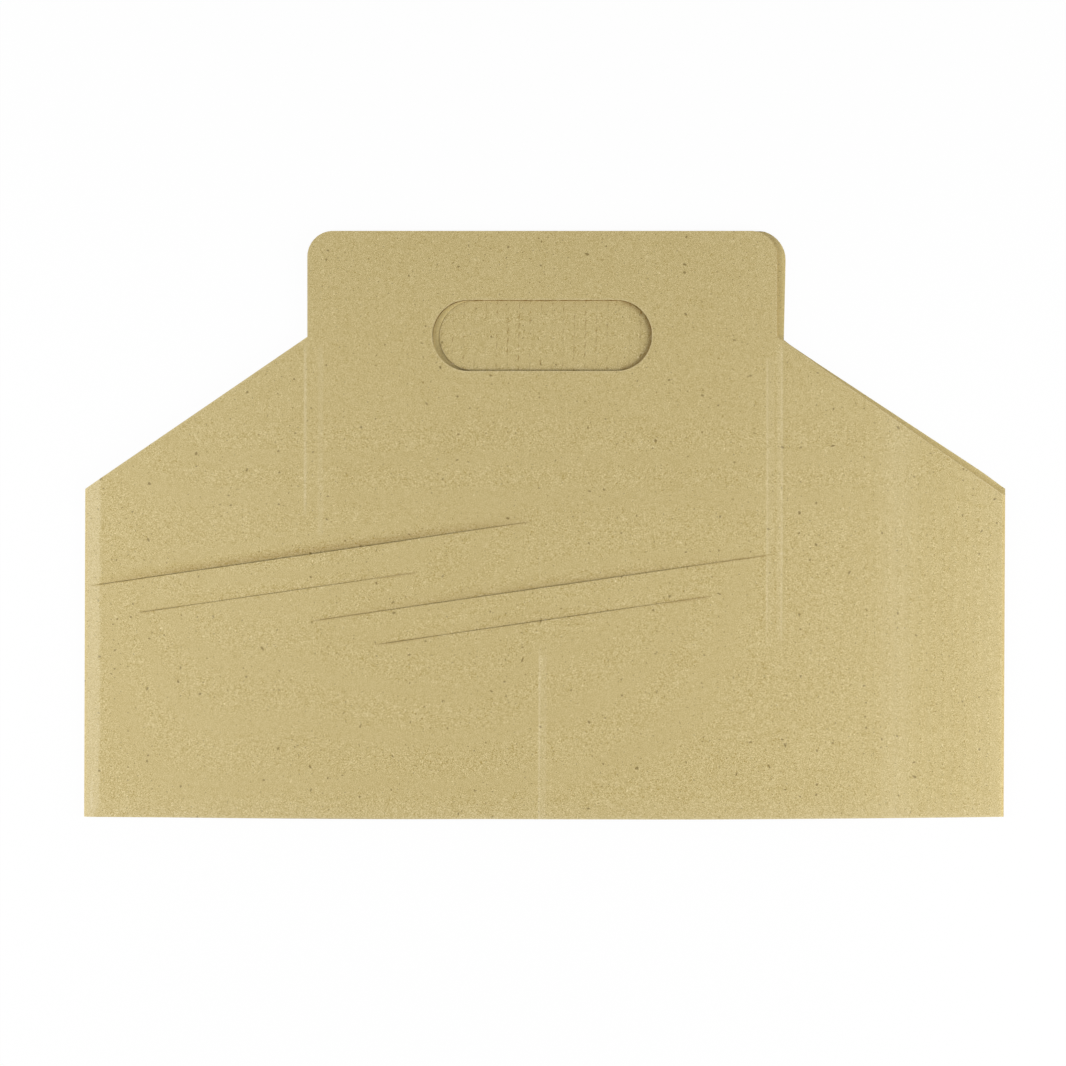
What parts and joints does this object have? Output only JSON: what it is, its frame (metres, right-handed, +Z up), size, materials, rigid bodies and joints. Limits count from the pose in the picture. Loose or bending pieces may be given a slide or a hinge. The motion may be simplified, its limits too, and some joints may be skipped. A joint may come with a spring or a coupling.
{
  "type": "cup carrier",
  "caption": "Drink cup carrier of corrugated kraft board, folded flat: a tall handle with a rounded hand slot, sloping shoulders, slanted cup slits and crease lines.",
  "frame": {"origin": "middle of the flat carrier's outline, on the surface that it lies on", "axes": "+X from the left fold to the right fold, +Y from the bottom edge to the handle, +Z up out of the front panel"},
  "size_m": [0.282, 0.1806, 0.0034],
  "materials": {
    "kraft_board": "matte, natural brown kraft paper with fine fibres and specks"
  },
  "bodies": {
    "root": {"carrier_board": "kraft_board"}
  },
  "joints": []
}
